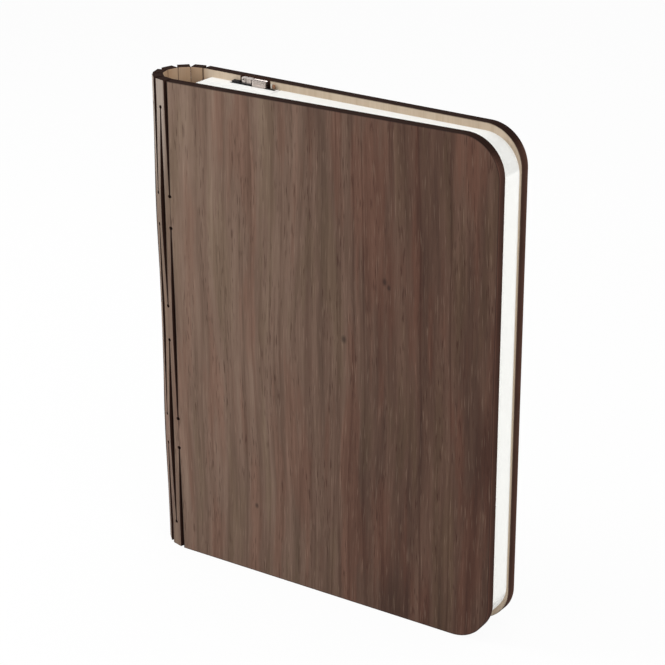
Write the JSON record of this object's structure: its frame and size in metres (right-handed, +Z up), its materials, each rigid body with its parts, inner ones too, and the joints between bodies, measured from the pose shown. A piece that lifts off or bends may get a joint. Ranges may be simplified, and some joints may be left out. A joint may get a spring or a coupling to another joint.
{
  "type": "folding book lamp",
  "caption": "Book-shaped lamp: two wooden covers on a lattice-cut bending spine, with a fan of folded white pages that opens into a lantern.",
  "frame": {"origin": "under the middle of the closed lamp's outline, on the surface that it stands on", "axes": "+Z up, along the spine; +X from the spine to the fore-edge; the front cover is at -Y and the back cover, which carries the light, at +Y"},
  "size_m": [0.17, 0.0292, 0.215],
  "materials": {
    "walnut": "satin oiled walnut veneer with laser-darkened edges",
    "lining": "matte pale veneer",
    "paper": "matte white paper-like sheet",
    "magnet": "nickel plated",
    "housing": "matte white moulded",
    "diffuser": "milky translucent",
    "led_board": "white solder mask",
    "led": "yellow phosphor window",
    "cell": "matte foil pouch",
    "pad": "foam tape",
    "red_wire": "insulated wire",
    "black_wire": "insulated wire",
    "control_board": "black solder mask",
    "socket": "tin plated sheet steel",
    "sensor": "drawn steel can",
    "charge_light": "amber window",
    "screw": "zinc plated"
  },
  "bodies": {
    "back_cover": {"back_cover": "walnut", "back_lining": "lining", "back_end_leaf": "paper", "back_magnets": "magnet", "light_housing": "housing", "diffuser": "diffuser", "led_board": "led_board", "leds": "led", "battery": "cell", "battery_pad": "pad", "battery_wires": "red_wire", "led_wires": "black_wire", "control_board": "control_board", "usb_socket": "socket", "open_sensor": "sensor", "charge_light": "charge_light", "housing_screws": "screw"},
    "page_01": {"page_01": "paper"},
    "page_02": {"page_02": "paper"},
    "page_03": {"page_03": "paper"},
    "page_04": {"page_04": "paper"},
    "page_05": {"page_05": "paper"},
    "page_06": {"page_06": "paper"},
    "page_07": {"page_07": "paper"},
    "page_08": {"page_08": "paper"},
    "page_09": {"page_09": "paper"},
    "page_10": {"page_10": "paper"},
    "page_11": {"page_11": "paper"},
    "page_12": {"page_12": "paper"},
    "page_13": {"page_13": "paper"},
    "page_14": {"page_14": "paper"},
    "page_15": {"page_15": "paper"},
    "page_16": {"page_16": "paper"},
    "page_17": {"page_17": "paper"},
    "page_18": {"page_18": "paper"},
    "front_cover": {"front_cover": "walnut", "front_lining": "lining", "front_end_leaf": "paper", "front_magnets": "magnet"},
    "strip_1": {"hinge_strip_1": "walnut"},
    "strip_2": {"hinge_strip_2": "walnut"},
    "strip_3": {"hinge_strip_3": "walnut"},
    "strip_4": {"hinge_strip_4": "walnut"},
    "strip_5": {"hinge_strip_5": "walnut"},
    "strip_6": {"hinge_strip_6": "walnut"}
  },
  "joints": [
    {"name": "page_fold_01", "type": "hinge", "parent": "back_cover", "child": "page_01", "pos_m": [-0.07003, 0.0124, 0.1075], "axis": [0, 0, -1], "range_deg": [0, 10.26]},
    {"name": "page_fold_02", "type": "hinge", "parent": "page_01", "child": "page_02", "pos_m": [-0.07003, 0.0124, 0.1075], "axis": [0, 0, -1], "range_deg": [0, 20.53]},
    {"name": "page_fold_03", "type": "hinge", "parent": "page_02", "child": "page_03", "pos_m": [-0.07636, 0.01084, 0.1075], "axis": [0, 0, -1], "range_deg": [0, 20.53]},
    {"name": "page_fold_04", "type": "hinge", "parent": "page_03", "child": "page_04", "pos_m": [-0.07636, 0.01084, 0.1075], "axis": [0, 0, -1], "range_deg": [0, 20.53]},
    {"name": "page_fold_05", "type": "hinge", "parent": "page_04", "child": "page_05", "pos_m": [-0.07636, 0.01084, 0.1075], "axis": [0, 0, -1], "range_deg": [0, 20.53]},
    {"name": "page_fold_06", "type": "hinge", "parent": "page_05", "child": "page_06", "pos_m": [-0.08102, 0.00629, 0.1075], "axis": [0, 0, -1], "range_deg": [0, 20.53]},
    {"name": "page_fold_07", "type": "hinge", "parent": "page_06", "child": "page_07", "pos_m": [-0.08102, 0.00629, 0.1075], "axis": [0, 0, -1], "range_deg": [0, 20.53]},
    {"name": "page_fold_08", "type": "hinge", "parent": "page_07", "child": "page_08", "pos_m": [-0.08102, 0.00629, 0.1075], "axis": [0, 0, -1], "range_deg": [0, 20.53]},
    {"name": "page_fold_09", "type": "hinge", "parent": "page_08", "child": "page_09", "pos_m": [-0.08273, 0, 0.1075], "axis": [0, 0, -1], "range_deg": [0, 20.53]},
    {"name": "page_fold_10", "type": "hinge", "parent": "page_09", "child": "page_10", "pos_m": [-0.08273, 0, 0.1075], "axis": [0, 0, -1], "range_deg": [0, 20.53]},
    {"name": "page_fold_11", "type": "hinge", "parent": "page_10", "child": "page_11", "pos_m": [-0.08273, 0, 0.1075], "axis": [0, 0, -1], "range_deg": [0, 20.53]},
    {"name": "page_fold_12", "type": "hinge", "parent": "page_11", "child": "page_12", "pos_m": [-0.08102, -0.00629, 0.1075], "axis": [0, 0, -1], "range_deg": [0, 20.53]},
    {"name": "page_fold_13", "type": "hinge", "parent": "page_12", "child": "page_13", "pos_m": [-0.08102, -0.00629, 0.1075], "axis": [0, 0, -1], "range_deg": [0, 20.53]},
    {"name": "page_fold_14", "type": "hinge", "parent": "page_13", "child": "page_14", "pos_m": [-0.08102, -0.00629, 0.1075], "axis": [0, 0, -1], "range_deg": [0, 20.53]},
    {"name": "page_fold_15", "type": "hinge", "parent": "page_14", "child": "page_15", "pos_m": [-0.07636, -0.01084, 0.1075], "axis": [0, 0, -1], "range_deg": [0, 20.53]},
    {"name": "page_fold_16", "type": "hinge", "parent": "page_15", "child": "page_16", "pos_m": [-0.07636, -0.01084, 0.1075], "axis": [0, 0, -1], "range_deg": [0, 20.53]},
    {"name": "page_fold_17", "type": "hinge", "parent": "page_16", "child": "page_17", "pos_m": [-0.07636, -0.01084, 0.1075], "axis": [0, 0, -1], "range_deg": [0, 20.53]},
    {"name": "page_fold_18", "type": "hinge", "parent": "page_17", "child": "page_18", "pos_m": [-0.07003, -0.0124, 0.1075], "axis": [0, 0, -1], "range_deg": [0, 20.53]},
    {"name": "page_fold_19", "type": "hinge", "parent": "page_18", "child": "front_cover", "pos_m": [-0.07003, -0.0124, 0.1075], "axis": [0, 0, -1], "range_deg": [0, 10.26]},
    {"name": "spine_fold_7", "type": "hinge", "parent": "front_cover", "child": "strip_6", "pos_m": [-0.07003, -0.0124, 0.1075], "axis": [0, 0, 1], "range_deg": [0, 30.79]},
    {"name": "spine_fold_6", "type": "hinge", "parent": "strip_6", "child": "strip_5", "pos_m": [-0.07636, -0.01084, 0.1075], "axis": [0, 0, 1], "range_deg": [0, 61.58]},
    {"name": "spine_fold_5", "type": "hinge", "parent": "strip_5", "child": "strip_4", "pos_m": [-0.08102, -0.00629, 0.1075], "axis": [0, 0, 1], "range_deg": [0, 61.58]},
    {"name": "spine_fold_4", "type": "hinge", "parent": "strip_4", "child": "strip_3", "pos_m": [-0.08273, 0, 0.1075], "axis": [0, 0, 1], "range_deg": [0, 61.58]},
    {"name": "spine_fold_3", "type": "hinge", "parent": "strip_3", "child": "strip_2", "pos_m": [-0.08102, 0.00629, 0.1075], "axis": [0, 0, 1], "range_deg": [0, 61.58]},
    {"name": "spine_fold_2", "type": "hinge", "parent": "strip_2", "child": "strip_1", "pos_m": [-0.07636, 0.01084, 0.1075], "axis": [0, 0, 1], "range_deg": [0, 61.58]}
  ],
  "couplings": [
    {"joint": "page_fold_01", "follows": "page_fold_10", "ratio": 0.5},
    {"joint": "page_fold_02", "follows": "page_fold_10", "ratio": 1},
    {"joint": "page_fold_03", "follows": "page_fold_10", "ratio": 1},
    {"joint": "page_fold_04", "follows": "page_fold_10", "ratio": 1},
    {"joint": "page_fold_05", "follows": "page_fold_10", "ratio": 1},
    {"joint": "page_fold_06", "follows": "page_fold_10", "ratio": 1},
    {"joint": "page_fold_07", "follows": "page_fold_10", "ratio": 1},
    {"joint": "page_fold_08", "follows": "page_fold_10", "ratio": 1},
    {"joint": "page_fold_09", "follows": "page_fold_10", "ratio": 1},
    {"joint": "page_fold_11", "follows": "page_fold_10", "ratio": 1},
    {"joint": "page_fold_12", "follows": "page_fold_10", "ratio": 1},
    {"joint": "page_fold_13", "follows": "page_fold_10", "ratio": 1},
    {"joint": "page_fold_14", "follows": "page_fold_10", "ratio": 1},
    {"joint": "page_fold_15", "follows": "page_fold_10", "ratio": 1},
    {"joint": "page_fold_16", "follows": "page_fold_10", "ratio": 1},
    {"joint": "page_fold_17", "follows": "page_fold_10", "ratio": 1},
    {"joint": "page_fold_18", "follows": "page_fold_10", "ratio": 1},
    {"joint": "page_fold_19", "follows": "page_fold_10", "ratio": 0.5},
    {"joint": "spine_fold_7", "follows": "page_fold_10", "ratio": 1.5},
    {"joint": "spine_fold_6", "follows": "page_fold_10", "ratio": 3},
    {"joint": "spine_fold_5", "follows": "page_fold_10", "ratio": 3},
    {"joint": "spine_fold_4", "follows": "page_fold_10", "ratio": 3},
    {"joint": "spine_fold_3", "follows": "page_fold_10", "ratio": 3},
    {"joint": "spine_fold_2", "follows": "page_fold_10", "ratio": 3}
  ]
}
